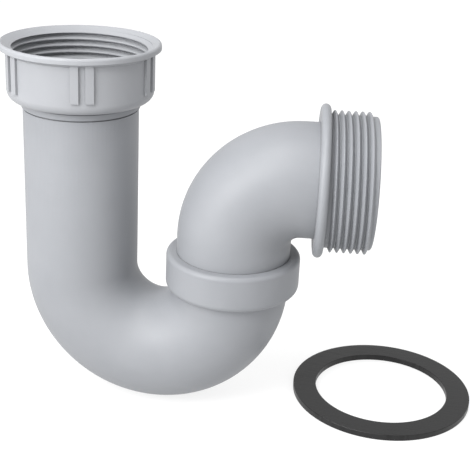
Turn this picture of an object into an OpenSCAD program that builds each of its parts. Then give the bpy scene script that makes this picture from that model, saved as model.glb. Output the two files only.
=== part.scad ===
// U-bend sink trap: a union nut on the inlet leg, a half-round trap bend with a socket collar,
// an outlet elbow that swivels in the collar, its rubber seal, and a loose flat washer.
// Millimetres, +Z up. The origin is on the inlet axis at the sealing face, the top of the leg.

/* [Thread] */
// Outside diameter of the thread, 1 1/2 inch pipe thread
thread_d = 47.8; // [47:0.1:54]
// Pitch of the thread
thread_pitch = 2.309; // [1.8:0.001:2.8]
// Radial play between the nut's thread and a male thread
thread_play = 0.1; // [0.05:0.01:0.3]

/* [Tube] */
// How far the tube's outside lies inside the thread's crests
tube_inset = 4.25; // [3.5:0.05:5.5]
// Wall of the tube
wall = 2.2; // [1.6:0.1:3]

/* [Trap bend] */
// Radius of the bend's inner side
bend_throat = 8.05; // [6:0.05:20]
// Height of the sealing face above the middle of the bend
leg_h = 66.1; // [60:0.1:120]
// Radial play of the sealing flange in the nut's thread
flange_play = 0.3; // [0.1:0.05:0.6]
// Thickness of the sealing flange
flange_t = 2.6; // [2:0.1:4]
// How far the bead under the nut stands proud of the tube
bead_proud = 0.45; // [0.3:0.05:1]
// Height of the bead under the nut
bead_h = 2.4; // [1.5:0.1:5]

/* [Collar] */
// Wall of the collar outside the seal's groove
collar_wall = 1.6; // [1.2:0.1:4]
// Height of the collar above the middle of the bend
collar_h = 11.4; // [9.6:0.1:14]
// How far the collar's skirt reaches below the middle of the bend
collar_skirt = 1.6; // [1:0.1:3]
// Radius of the collar's rounded top edge
collar_round = 1.5; // [0.6:0.1:2]
// Radius of the collar's rounded lower edge
skirt_round = 2.4; // [0.4:0.1:3.3]
// Height of the socket floor above the middle of the bend
socket_floor = 1.5; // [1:0.1:3]
// Radial play of the elbow in the socket
swivel_play = 0.08; // [0.05:0.01:0.1]

/* [Seal] */
// Thickness of the seal's round section
seal_t = 1.9; // [1.4:0.1:2.2]
// Height of the seal above the socket floor
seal_rise = 4.4; // [2:0.1:4.8]
// Play round the seal in its groove
seal_play = 0.04; // [0.02:0.01:0.1]

/* [Union nut] */
// Number of turns of thread in the nut
nut_turns = 6; // [4:1:8]
// Wall outside the nut's thread
nut_wall = 0.8; // [0.7:0.1:3]
// Thickness of the shoulder that pulls on the flange
shoulder_t = 2.85; // [2.5:0.05:4]
// Radius of the nut's rounded lower edge
waist_round = 3.3; // [1:0.1:4]
// How far the rim stands out from the nut's side
rim_out = 2.3; // [1.2:0.1:5]
// Height of the rim, with its slanted underside
rim_h = 3.3; // [2.8:0.1:5]
// Height of the slanted lead-in from the rim down to the thread
lead_in = 1.9; // [1:0.1:3]
// Play between the nut and the leg, the flange and the bead
nut_play = 0.15; // [0.1:0.01:0.2]
// Turn of the nut on the leg, at which its front ribs face to the right of the front
nut_turn = 21.5; // [-180:0.5:180]

/* [Grip ribs] */
// Width of each grip rib
rib_w = 2.7; // [1.5:0.1:4]
// How far the ribs stand out from the nut's side
rib_out = 0.8; // [0.4:0.1:1.2]
// Height of the ribs' lower ends above the nut's underside
rib_foot = 4.5; // [4:0.1:7]
// Angle between the two ribs of a pair
rib_pair = 11; // [8:0.5:14]
// Angle from the front pair of ribs to the next pair
rib_step = 64; // [50:1:68]

/* [Outlet elbow] */
// Radius of the elbow's inner side
elbow_throat = 2.45; // [1:0.05:20]
// Height of straight tube between the collar and the elbow
elbow_rise = 5.5; // [1:0.1:20]
// Turn of the elbow away from the bend's plane
elbow_turn = 10; // [-90:0.5:90]
// Length of plain tube before the stop ring
ring_at = 4.7; // [2:0.1:20]
// Width of the stop ring
ring_w = 3.2; // [2:0.1:6]
// How far the stop ring stands out over the thread
ring_out = 2; // [1.2:0.1:6]
// Gap between the stop ring and the thread
thread_gap = 0.6; // [0.2:0.1:3]
// Number of turns of thread on the outlet
outlet_turns = 6; // [3:1:8]
// Length of the plain end in front of the thread
end_land = 1.9; // [1:0.1:5]
// Wall between the outlet's thread and its bore for a waste pipe
outlet_wall = 2.2; // [1.8:0.1:4]

/* [Washer] */
// Radial play of the washer round the thread that it goes over
washer_play = 0.4; // [0.3:0.1:4]
// Width of the washer's flat, from its hole to its outside
washer_w = 8.4; // [6:0.1:16]
// Thickness of the washer
washer_t = 2.2; // [1.5:0.1:4]
// Where the washer lies, to the right of the inlet axis
washer_x = 109.6; // [109:0.1:160]
// Where the washer lies, behind the bend's plane
washer_y = 21.3; // [-60:0.1:60]

/* [Hidden] */
$fn = 96;
plastic = [0.66, 0.68, 0.70];
rubber = [0.09, 0.09, 0.10];

tube_r = thread_d / 2 - tube_inset;
bore_r = tube_r - wall;
bend_r = tube_r + bend_throat;
leg_spacing = 2 * bend_r;

// Pipe thread form: 55 degrees between the flanks, with crest and root cut to equal flats
flank_angle = 27.5;
thread_depth = 0.64 * thread_pitch;
flank_run = thread_depth * tan(flank_angle);
crest_w = thread_pitch / 2 - flank_run;
thread_root_r = thread_d / 2 - thread_depth;

// The flange passes through the nut's thread and the nut's shoulder pulls on its underside
nut_root_r = thread_d / 2 + thread_play;
nut_crest_r = thread_root_r + thread_play;
flange_r = nut_crest_r - flange_play;
nut_bore_r = tube_r + nut_play + 0.1;
nut_r = nut_root_r + nut_wall;
rim_r = nut_r + rim_out;
shoulder_top = -flange_t - nut_play;
lip_z = shoulder_top - shoulder_t;
nut_top = (nut_turns - 1) * thread_pitch + crest_w + lead_in;
rim_round = 0.9;
rim_side = 0.6 * rim_h;
edge = 0.3;
bead_top = lip_z - nut_play;
rib_h = nut_top - rim_side - lip_z - rib_foot;

// The collar's socket and its groove for the seal
socket_r = tube_r + swivel_play;
groove_h = seal_t + 2 * seal_play;
seal_r = tube_r + seal_play + seal_t / 2;
groove_r = tube_r + seal_t + 2 * seal_play;
collar_r = groove_r + collar_wall;

// Places along the outlet, measured from the end of the elbow's curve. The waste pipe stops
// inside the stop ring.
elbow_r = tube_r + elbow_throat;
thread_at = ring_at + ring_w + thread_gap;
thread_end = thread_at + (outlet_turns - 1) * thread_pitch + crest_w + 2 * flank_run;
outlet_end = thread_end + end_land;
ring_r = thread_d / 2 + ring_out;
pipe_stop = ring_at + ring_w / 2;
outlet_bore_r = thread_root_r - outlet_wall;
chamfer = 0.6;

washer_hole_r = thread_d / 2 + washer_play;

// Points along an arc round centre c
function arc(c, r, from, to, steps = 6) =
    [for (i = [0:steps]) let (a = from + (to - from) * i / steps) [c[0] + r * cos(a), c[1] + r * sin(a)]];

// Outline of a row of thread ridges that starts at height z, from root_r to crest_r
function ridges(root_r, crest_r, z, turns) = [
    for (i = [0:turns - 1]) let (low = z + i * thread_pitch) each [
        [root_r, low],
        [crest_r, low + flank_run],
        [crest_r, low + flank_run + crest_w],
        [root_r, low + 2 * flank_run + crest_w]
    ]
];

function without_last(points) = [for (i = [0:len(points) - 2]) points[i]];

function reversed(points) = [for (i = [len(points) - 1:-1:0]) points[i]];

// A bent tube round the Y axis, from the direction of angle from, over angle sweep
module bent_tube(middle_r, from, sweep) {
    rotate([90, 0, 0])
        rotate([0, 0, from])
            rotate_extrude(angle = sweep)
                translate([middle_r, 0])
                    difference() {
                        circle(tube_r);
                        circle(bore_r);
                    }
}

// The straight inlet leg with its sealing flange and the bead under the nut
module inlet_leg() {
    rotate_extrude()
        polygon([
            [bore_r, -leg_h],
            [tube_r, -leg_h],
            [tube_r, bead_top - bead_h],
            [tube_r + bead_proud, bead_top - bead_h],
            [tube_r + bead_proud, bead_top - bead_proud / 2],
            [tube_r + bead_proud / 2, bead_top],
            [tube_r, bead_top],
            [tube_r, -flange_t],
            [flange_r, -flange_t],
            [flange_r, -edge],
            [flange_r - edge, 0],
            [bore_r + edge, 0],
            [bore_r, -edge]
        ]);
}

// The socket collar, with a rounded top and a groove for the seal
module collar() {
    groove_low = socket_floor + seal_rise - groove_h / 2;
    rotate_extrude()
        polygon(concat(
            [
                [bore_r, 0],
                [bore_r + wall / 2, 0],
                [bore_r + wall / 2, -collar_skirt]
            ],
            arc([collar_r - skirt_round, skirt_round - collar_skirt], skirt_round, -90, 0, 8),
            arc([collar_r - collar_round, collar_h - collar_round], collar_round, 0, 90, 10),
            [
                [socket_r, collar_h],
                [socket_r, groove_low + groove_h],
                [groove_r, groove_low + groove_h],
                [groove_r, groove_low],
                [socket_r, groove_low],
                [socket_r, socket_floor],
                [bore_r, socket_floor]
            ]
        ));
}

module trap_bend() {
    color(plastic) {
        inlet_leg();
        translate([bend_r, 0, -leg_h]) bent_tube(bend_r, 180, 180);
        translate([leg_spacing, 0, -leg_h]) collar();
    }
}

// One straight grip rib along the nut's side
module rib(angle) {
    rotate([0, 0, angle])
        translate([0, 0, lip_z + rib_foot])
            linear_extrude(rib_h)
                intersection() {
                    circle(nut_r + rib_out);
                    translate([nut_r - nut_wall / 2, -rib_w / 2]) square([nut_wall + rib_out, rib_w]);
                }
}

module union_nut() {
    front = -90 + nut_turn;
    rib_places = [0, rib_step, 180 - rib_step, 180, 180 + rib_step, -rib_step];
    color(plastic) {
        rotate_extrude()
            polygon(concat(
                [[nut_bore_r + edge, lip_z]],
                arc([nut_r - waist_round, lip_z + waist_round], waist_round, -90, 0, 10),
                [[nut_r, nut_top - rim_h], [rim_r, nut_top - rim_side]],
                arc([rim_r - rim_round, nut_top - rim_round], rim_round, 0, 90),
                reversed(without_last(ridges(nut_root_r, nut_crest_r, -flank_run, nut_turns))),
                [
                    [nut_root_r, shoulder_top],
                    [nut_bore_r, shoulder_top],
                    [nut_bore_r, lip_z + edge]
                ]
            ));
        for (place = rib_places, side = [-0.5, 0.5]) rib(front + place + side * rib_pair);
    }
}

// The spigot that turns in the collar, up to the start of the elbow's curve
module spigot() {
    top = collar_h + elbow_rise;
    foot = socket_floor + swivel_play;
    rotate_extrude()
        polygon([
            [bore_r, foot],
            [tube_r - chamfer, foot],
            [tube_r, foot + chamfer],
            [tube_r, top],
            [bore_r, top]
        ]);
}

// The outlet from the end of the elbow's curve: plain tube, stop ring, thread and end
module outlet() {
    rotate_extrude()
        polygon(concat(
            [[tube_r, 0], [tube_r, ring_at]],
            [[ring_r - ring_w / 2, ring_at]],
            arc([ring_r - ring_w / 2, ring_at + ring_w / 2], ring_w / 2, -90, 90, 12),
            [[thread_root_r, ring_at + ring_w]],
            ridges(thread_root_r, thread_d / 2, thread_at, outlet_turns),
            [
                [thread_root_r, outlet_end - edge],
                [thread_root_r - edge, outlet_end],
                [outlet_bore_r + chamfer, outlet_end],
                [outlet_bore_r, outlet_end - chamfer],
                [outlet_bore_r, pipe_stop],
                [bore_r, pipe_stop],
                [bore_r, 0]
            ]
        ));
}

module outlet_elbow() {
    color(plastic)
        translate([leg_spacing, 0, -leg_h])
            rotate([0, 0, elbow_turn]) {
                spigot();
                translate([elbow_r, 0, collar_h + elbow_rise]) {
                    bent_tube(elbow_r, 90, 90);
                    translate([0, 0, elbow_r]) rotate([0, 90, 0]) outlet();
                }
            }
}

module collar_seal() {
    color(rubber)
        translate([leg_spacing, 0, -leg_h + socket_floor + seal_rise])
            rotate_extrude()
                translate([seal_r, 0]) circle(seal_t / 2);
}

// The loose washer lies level with the lowest point of the bend
module flat_washer() {
    color(rubber)
        translate([washer_x, washer_y, -leg_h - bend_r - tube_r])
            difference() {
                cylinder(h = washer_t, r = washer_hole_r + washer_w);
                translate([0, 0, -washer_t / 2]) cylinder(h = 2 * washer_t, r = washer_hole_r);
            }
}

trap_bend();
union_nut();
outlet_elbow();
collar_seal();
flat_washer();
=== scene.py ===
import math
import bpy
from mathutils import Matrix, Vector


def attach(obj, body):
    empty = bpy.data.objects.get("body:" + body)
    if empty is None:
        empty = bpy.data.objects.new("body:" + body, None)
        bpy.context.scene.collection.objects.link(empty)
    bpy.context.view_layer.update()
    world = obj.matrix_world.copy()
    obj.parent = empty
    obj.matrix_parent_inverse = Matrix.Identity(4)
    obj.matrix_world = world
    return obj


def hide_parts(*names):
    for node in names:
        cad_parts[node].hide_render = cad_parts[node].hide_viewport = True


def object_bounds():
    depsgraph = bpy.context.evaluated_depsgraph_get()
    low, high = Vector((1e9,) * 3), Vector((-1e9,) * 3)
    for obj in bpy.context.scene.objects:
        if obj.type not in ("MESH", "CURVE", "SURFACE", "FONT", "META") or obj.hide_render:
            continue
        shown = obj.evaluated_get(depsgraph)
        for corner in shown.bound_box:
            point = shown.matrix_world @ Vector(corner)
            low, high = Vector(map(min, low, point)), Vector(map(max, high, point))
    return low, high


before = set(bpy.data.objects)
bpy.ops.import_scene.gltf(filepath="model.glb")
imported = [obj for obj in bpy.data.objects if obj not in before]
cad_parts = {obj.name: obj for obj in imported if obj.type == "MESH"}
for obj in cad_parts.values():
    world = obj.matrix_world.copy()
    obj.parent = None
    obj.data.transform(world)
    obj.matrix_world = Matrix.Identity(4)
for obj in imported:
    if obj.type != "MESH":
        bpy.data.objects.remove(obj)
cad_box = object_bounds()

# The camera stands in front of the trap, a little to its right, and looks down on it, where the
# photograph was taken from. Its focal length is fitted in pixels of the photograph.
camera_place = (0.12542, -0.32717, 0.08953)
turn, tilt, roll = (math.radians(a) for a in (-12.09, 21.36, 2.71))
focal_px, photo_px, sensor_mm = 1050.71, 470, 36
camera_data = bpy.data.cameras.new("camera")
camera = bpy.data.objects.new("camera", camera_data)
bpy.context.collection.objects.link(camera)
look = Vector((math.sin(turn) * math.cos(tilt), math.cos(turn) * math.cos(tilt), -math.sin(tilt)))
right = Vector((math.cos(turn), -math.sin(turn), 0))
up = right.cross(look)
side = math.cos(roll) * right + math.sin(roll) * up
top = math.cos(roll) * up - math.sin(roll) * right
aim = Matrix((side, top, -look)).transposed().to_4x4()
camera.matrix_world = Matrix.Translation(camera_place) @ aim
camera_data.sensor_width = sensor_mm
camera_data.lens = focal_px / photo_px * sensor_mm
camera_data.shift_y = -0.0426
camera_data.clip_start = 0.01
bpy.context.scene.camera = camera

# The trap bend is moulded in grey polypropylene with a satin, faintly sparked surface. Its bead
# stands clear of the nut's lip, and the mould leaves a fine crisp groove in the leg below it.
plastic = bpy.data.materials.new("grey_polypropylene")
plastic.use_nodes = True
nodes, links = plastic.node_tree.nodes, plastic.node_tree.links
shader = nodes["Principled BSDF"]
place = nodes.new("ShaderNodeTexCoord")
cloud = nodes.new("ShaderNodeTexNoise")
cloud.inputs["Scale"].default_value = 55
cloud.inputs["Detail"].default_value = 4
tint = nodes.new("ShaderNodeValToRGB")
tint.name = "tint"
tint.color_ramp.elements[0].position = 0.3
tint.color_ramp.elements[0].color = (0.205, 0.212, 0.226, 1)
tint.color_ramp.elements[1].position = 0.7
tint.color_ramp.elements[1].color = (0.221, 0.228, 0.242, 1)
links.new(place.outputs["Object"], cloud.inputs["Vector"])
links.new(cloud.outputs["Fac"], tint.inputs["Fac"])
# Painted shade: the plastic's colour is darkened in corners, creases and grooves, as far as ambient
# occlusion finds them hemmed in.
corner = nodes.new("ShaderNodeAmbientOcclusion")
corner.samples = 12
corner.inputs["Distance"].default_value = 0.0007
painted_corner_shade = nodes.new("ShaderNodeMapRange")
painted_corner_shade.inputs["From Min"].default_value = 0.25
painted_corner_shade.inputs["From Max"].default_value = 0.75
painted_corner_shade.inputs["To Min"].default_value = 0.4
painted_corner_shade.inputs["To Max"].default_value = 1
painted_shade_tint = nodes.new("ShaderNodeMix")
painted_shade_tint.data_type = "RGBA"
painted_shade_tint.blend_type = "MULTIPLY"
painted_shade_tint.inputs["Factor"].default_value = 1
links.new(corner.outputs["AO"], painted_corner_shade.inputs["Value"])
links.new(tint.outputs["Color"], painted_shade_tint.inputs["A"])
links.new(painted_corner_shade.outputs["Result"], painted_shade_tint.inputs["B"])
links.new(painted_shade_tint.outputs["Result"], shader.inputs["Base Color"])
satin = nodes.new("ShaderNodeMapRange")
satin.inputs["To Min"].default_value = 0.44
satin.inputs["To Max"].default_value = 0.54
links.new(cloud.outputs["Fac"], satin.inputs["Value"])
links.new(satin.outputs["Result"], shader.inputs["Roughness"])
grain = nodes.new("ShaderNodeTexNoise")
grain.inputs["Scale"].default_value = 2600
grain.inputs["Detail"].default_value = 3
relief = nodes.new("ShaderNodeBump")
relief.inputs["Strength"].default_value = 0.08
relief.inputs["Distance"].default_value = 0.0002
links.new(place.outputs["Object"], grain.inputs["Vector"])
links.new(grain.outputs["Fac"], relief.inputs["Height"])
links.new(relief.outputs["Normal"], shader.inputs["Normal"])
shader.inputs["Specular IOR Level"].default_value = 0.33
merge_within = 1e-5
skim = 0.00002
cutter_sides = 192
sleeve_wall = 0.002
real_edge = math.radians(32)


def working_copy(node, name, finish):
    """A copy of a node's mesh in its finish, with its doubled vertices merged."""
    bpy.ops.object.select_all(action="DESELECT")
    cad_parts[node].select_set(True)
    bpy.context.view_layer.objects.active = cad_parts[node]
    bpy.ops.object.duplicate()
    piece = bpy.context.object
    piece.name = name
    bpy.ops.object.mode_set(mode="EDIT")
    bpy.ops.mesh.select_all(action="SELECT")
    bpy.ops.mesh.remove_doubles(threshold=merge_within)
    bpy.ops.mesh.customdata_custom_splitnormals_clear()
    bpy.ops.object.mode_set(mode="OBJECT")
    piece.data.materials.clear()
    piece.data.materials.append(finish)
    return piece


def cut_away(body, tool):
    """Cuts the tool out of the body, and removes the tool."""
    tool.data.materials.append(body.data.materials[0])
    bpy.ops.object.select_all(action="DESELECT")
    body.select_set(True)
    bpy.context.view_layer.objects.active = body
    cut = body.modifiers.new("cut", "BOOLEAN")
    cut.object = tool
    cut.operation = "DIFFERENCE"
    cut.solver = "EXACT"
    bpy.ops.object.modifier_apply(modifier="cut")
    bpy.data.objects.remove(tool, do_unlink=True)


def sleeve(radius, length, centre, turned=(0, 0, 0)):
    """A thick tube whose bore has the radius, to cut away what stands outside it."""
    bpy.ops.object.select_all(action="DESELECT")
    bpy.ops.mesh.primitive_cylinder_add(
        vertices=cutter_sides, radius=radius, depth=length, end_fill_type="NOTHING",
        location=centre, rotation=turned,
    )
    tube = bpy.context.object
    wall = tube.modifiers.new("wall", "SOLIDIFY")
    wall.thickness = sleeve_wall
    wall.offset = 1
    bpy.ops.object.modifier_apply(modifier="wall")
    return tube


def smooth_faces(body):
    """Smooths the body's faces up to their real edges."""
    bpy.ops.object.select_all(action="DESELECT")
    body.select_set(True)
    bpy.context.view_layer.objects.active = body
    bpy.ops.object.shade_smooth_by_angle(angle=real_edge)
    weighted = body.modifiers.new("weighted", "WEIGHTED_NORMAL")
    weighted.keep_sharp = True
    bpy.ops.object.modifier_apply(modifier="weighted")


leg_r, lip_gap, lip_gap_z = 0.01965, 0.0005, -0.0061
groove, groove_deep, groove_z = 0.00045, 0.0004, -0.008525
trap = working_copy("trap_bend", "trap_bend_moulding", plastic)
cut_away(trap, sleeve(leg_r + skim, lip_gap, (0, 0, lip_gap_z)))
cut_away(trap, sleeve(leg_r - groove_deep, groove, (0, 0, groove_z)))
smooth_faces(trap)
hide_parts("trap_bend")
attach(trap, "trap")

# The union nut is one moulding in a slightly paler copy of the same plastic, hung on the leg by its
# shoulder.
# Its thread is a true right-hand helix that runs out through the slanted lead-in.
# Painted light: the nut's copy of the plastic has paler colours, which stand for brighter light
# falling on the nut.
painted_light_plastic = plastic.copy()
painted_light_plastic.name = "polypropylene_painted_lighter"
shades = painted_light_plastic.node_tree.nodes["tint"].color_ramp.elements
shades[0].color = (0.241, 0.247, 0.261, 1)
shades[1].color = (0.258, 0.264, 0.278, 1)
pitch = 0.002309
crest_flat = 0.000385
flank = 0.000769
crest_round = 0.00012
sink = 0.0002
turn_step = 3.75
end_depth, end_height = 0.02, 0.4


def helical_ridge(root, crest, crest_at, angles, fades, finish):
    """A ridge round Z, a little sunk in the wall, whose crest is at height crest_at at angle 0.

    It runs between the two angles and fades out over the last degrees at each end.
    """
    depth = crest - root
    out = math.copysign(1, depth)
    foot = root - out * sink
    spread = flank / abs(depth)
    half_foot = crest_flat / 2 + spread * abs(crest - foot)
    half_neck = crest_flat / 2 + spread * crest_round
    half_crest = crest_flat / 2 - crest_round / 2
    corners = [
        (foot, -half_foot), (crest - out * crest_round, -half_neck), (crest, -half_crest),
        (crest, half_crest), (crest - out * crest_round, half_neck), (foot, half_foot),
    ]
    sweep = angles[1] - angles[0]
    steps = round(sweep / turn_step)
    first = crest_at + pitch * angles[0] / 360
    bpy.ops.object.select_all(action="DESELECT")
    bpy.ops.mesh.primitive_circle_add(vertices=len(corners), radius=crest)
    ridge = bpy.context.object
    ridge.data.materials.append(finish)
    turned = math.radians(angles[0])
    for vert, (radius, height) in zip(ridge.data.vertices, corners):
        vert.co = (radius * math.cos(turned), radius * math.sin(turned), first + height)
    screw = ridge.modifiers.new("helix", "SCREW")
    screw.axis = "Z"
    screw.angle = math.radians(sweep)
    screw.screw_offset = pitch * sweep / 360
    screw.steps = screw.render_steps = steps
    bpy.ops.object.modifier_apply(modifier="helix")
    for index, vert in enumerate(ridge.data.vertices):
        passed = (index // len(corners)) * sweep / steps
        full = max(end_depth, min(1, passed / fades[0], (sweep - passed) / fades[1]))
        radius = math.hypot(vert.co.x, vert.co.y)
        middle = first + pitch * passed / 360
        pull = (foot + (radius - foot) * full) / radius
        height = (vert.co.z - middle) * (end_height + (1 - end_height) * full)
        vert.co = (vert.co.x * pull, vert.co.y * pull, middle + height)
    bpy.ops.object.mode_set(mode="EDIT")
    bpy.ops.mesh.select_all(action="SELECT")
    bpy.ops.mesh.fill_holes(sides=len(corners))
    bpy.ops.mesh.select_all(action="SELECT")
    bpy.ops.mesh.normals_make_consistent(inside=False)
    bpy.ops.object.mode_set(mode="OBJECT")
    return ridge


def join_ridge(body, ridge):
    """Makes the ridge a part of the body's mesh, and smooths the whole."""
    bpy.ops.object.select_all(action="DESELECT")
    ridge.select_set(True)
    body.select_set(True)
    bpy.context.view_layer.objects.active = body
    bpy.ops.object.join()
    smooth_faces(body)


nut_root, nut_crest, nut_crest_z = 0.0240, 0.022522, 0.011161
nut_angles, nut_fades = (-1770, 400), (90, 60)
bore_cut_h, bore_cut_z = 0.018, 0.008
mouth_r, mouth_z, lead_in = 0.0262, 0.01383, 0.0019
cone_below, cone_above = 0.001, 0.003
slope = (mouth_r - nut_crest) / lead_in
cone_z = mouth_z - lead_in / 2 + (cone_above - cone_below) / 2
nut = working_copy("union_nut", "union_nut_moulding", painted_light_plastic)
bpy.ops.object.select_all(action="DESELECT")
bpy.ops.mesh.primitive_cylinder_add(
    vertices=cutter_sides, radius=nut_root + skim, depth=bore_cut_h, location=(0, 0, bore_cut_z),
)
cut_away(nut, bpy.context.object)
ridge = helical_ridge(nut_root, nut_crest, nut_crest_z, nut_angles, nut_fades, painted_light_plastic)
bpy.ops.object.select_all(action="DESELECT")
bpy.ops.mesh.primitive_cone_add(
    vertices=cutter_sides, radius1=nut_crest - cone_below * slope + merge_within,
    radius2=mouth_r + cone_above * slope + merge_within,
    depth=lead_in + cone_below + cone_above, location=(0, 0, cone_z),
)
cut_away(ridge, bpy.context.object)
join_ridge(nut, ridge)
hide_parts("union_nut")
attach(nut, "nut")

# The outlet elbow is moulded in one with its stop ring and its threaded end, and is held in the
# collar by the fit of its spigot. Its thread starts low at the back and runs out at the back.
elbow_turn = math.radians(10)
elbow_corner, elbow_bend_r = Vector((0.0554, 0, -0.0271)), 0.0221
outlet_root, outlet_crest, outlet_crest_at = 0.022422, 0.0239, 0.00946
outlet_angles, outlet_fades = (-120, 2070), (90, 80)
thread_from, thread_to = 0.0082, 0.0224
along = Vector((math.cos(elbow_turn), math.sin(elbow_turn), 0))
across = Vector((math.sin(elbow_turn), -math.cos(elbow_turn), 0))
outlet_from = elbow_corner + elbow_bend_r * along
thread_middle = outlet_from + (thread_from + thread_to) / 2 * along
outlet_turned = Matrix((Vector((0, 0, 1)), across, along)).transposed().to_4x4()
elbow = working_copy("outlet_elbow", "outlet_elbow_moulding", plastic)
cut_away(elbow, sleeve(
    outlet_root - skim, thread_to - thread_from, thread_middle, (0, math.radians(90), elbow_turn),
))
ridge = helical_ridge(outlet_root, outlet_crest, outlet_crest_at, outlet_angles, outlet_fades, plastic)
ridge.matrix_world = Matrix.Translation(outlet_from) @ outlet_turned
bpy.ops.object.select_all(action="DESELECT")
ridge.select_set(True)
bpy.ops.object.transform_apply()
join_ridge(elbow, ridge)
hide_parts("outlet_elbow")
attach(elbow, "elbow")

# The flat washer is punched from a sheet of black rubber. The sheet has fine streaks along its
# length, and the punch leaves the edges a little rounded.
rubber = bpy.data.materials.new("black_rubber")
rubber.use_nodes = True
nodes, links = rubber.node_tree.nodes, rubber.node_tree.links
shader = nodes["Principled BSDF"]
place = nodes.new("ShaderNodeTexCoord")
along_sheet = nodes.new("ShaderNodeMapping")
along_sheet.inputs["Rotation"].default_value = (0, 0, math.radians(12))
along_sheet.inputs["Scale"].default_value = (90, 1500, 90)
streaks = nodes.new("ShaderNodeTexNoise")
streaks.inputs["Scale"].default_value = 1
streaks.inputs["Detail"].default_value = 4
tint = nodes.new("ShaderNodeValToRGB")
tint.color_ramp.elements[0].position = 0.35
tint.color_ramp.elements[0].color = (0.004, 0.004, 0.0042, 1)
tint.color_ramp.elements[1].position = 0.7
tint.color_ramp.elements[1].color = (0.013, 0.013, 0.0133, 1)
links.new(place.outputs["Object"], along_sheet.inputs["Vector"])
links.new(along_sheet.outputs["Vector"], streaks.inputs["Vector"])
links.new(streaks.outputs["Fac"], tint.inputs["Fac"])
links.new(tint.outputs["Color"], shader.inputs["Base Color"])
polish = nodes.new("ShaderNodeMapRange")
polish.inputs["From Min"].default_value = 0.3
polish.inputs["From Max"].default_value = 0.7
polish.inputs["To Min"].default_value = 0.26
polish.inputs["To Max"].default_value = 0.5
links.new(streaks.outputs["Fac"], polish.inputs["Value"])
links.new(polish.outputs["Result"], shader.inputs["Roughness"])
shader.inputs["Specular IOR Level"].default_value = 0.35
relief = nodes.new("ShaderNodeBump")
relief.inputs["Strength"].default_value = 0.25
relief.inputs["Distance"].default_value = 0.0001
links.new(streaks.outputs["Fac"], relief.inputs["Height"])
links.new(relief.outputs["Normal"], shader.inputs["Normal"])
washer = working_copy("flat_washer", "flat_washer_sheet", rubber)
worn = washer.modifiers.new("worn", "BEVEL")
worn.width = 0.0002
worn.segments = 3
worn.limit_method = "ANGLE"
worn.angle_limit = math.radians(40)
bpy.ops.object.modifier_apply(modifier="worn")
smooth_faces(washer)
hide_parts("flat_washer")
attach(washer, "trap")

# The collar seal is a moulded ring of the same rubber. It sits in the collar's groove, round the
# elbow's spigot, where nothing shows it.
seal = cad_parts["collar_seal"]
seal.data.materials.clear()
seal.data.materials.append(rubber)

# A plain white floor, lit through like a light table, lies just under the bend's lowest point and
# the washer. Soft studio lamps stand at the front left, in front and above, and over the nut, in
# a pale room that is a little brighter to the right.
floor_size, floor_gap = 12, 0.0001
lamp_aim = Vector((0.05, 0, -0.05))
bpy.ops.object.select_all(action="DESELECT")
bpy.ops.mesh.primitive_plane_add(size=floor_size, location=(0, 0, cad_box[0][2] - floor_gap))
floor = bpy.context.object
floor.name = "floor"
paper = bpy.data.materials.new("white_paper")
paper.use_nodes = True
shader = paper.node_tree.nodes["Principled BSDF"]
shader.inputs["Base Color"].default_value = (0.25, 0.25, 0.25, 1)
shader.inputs["Roughness"].default_value = 0.9
shader.inputs["Emission Color"].default_value = (1, 1, 1, 1)
shader.inputs["Emission Strength"].default_value = 0.76
floor.data.materials.append(paper)
world = bpy.data.worlds.new("studio")
bpy.context.scene.world = world
world.use_nodes = True
nodes, links = world.node_tree.nodes, world.node_tree.links
room = nodes["Background"]
room.inputs["Color"].default_value = (1, 1, 1, 1)
direction = nodes.new("ShaderNodeTexCoord")
axes = nodes.new("ShaderNodeSeparateXYZ")
left_to_right = nodes.new("ShaderNodeMapRange")
left_to_right.inputs["From Min"].default_value = -1
left_to_right.inputs["From Max"].default_value = 1
left_to_right.inputs["To Min"].default_value = 0.85
left_to_right.inputs["To Max"].default_value = 1.05
links.new(direction.outputs["Generated"], axes.inputs["Vector"])
links.new(axes.outputs["X"], left_to_right.inputs["Value"])
links.new(left_to_right.outputs["Result"], room.inputs["Strength"])
for name, spot, size, power in (
    ("key", (-0.34, -0.46, 0.14), 0.25, 3),
    ("high", (-0.1, -0.38, 0.3), 0.2, 1.7),
    ("top", (-0.03, -0.12, 0.35), 0.15, 0.9),
):
    lamp_data = bpy.data.lights.new(name, "AREA")
    lamp_data.size = size
    lamp_data.energy = power
    lamp = bpy.data.objects.new(name, lamp_data)
    lamp.location = spot
    lamp.rotation_euler = (lamp_aim - lamp.location).to_track_quat("-Z", "Y").to_euler()
    bpy.context.collection.objects.link(lamp)
bpy.context.scene.view_settings.view_transform = "Standard"
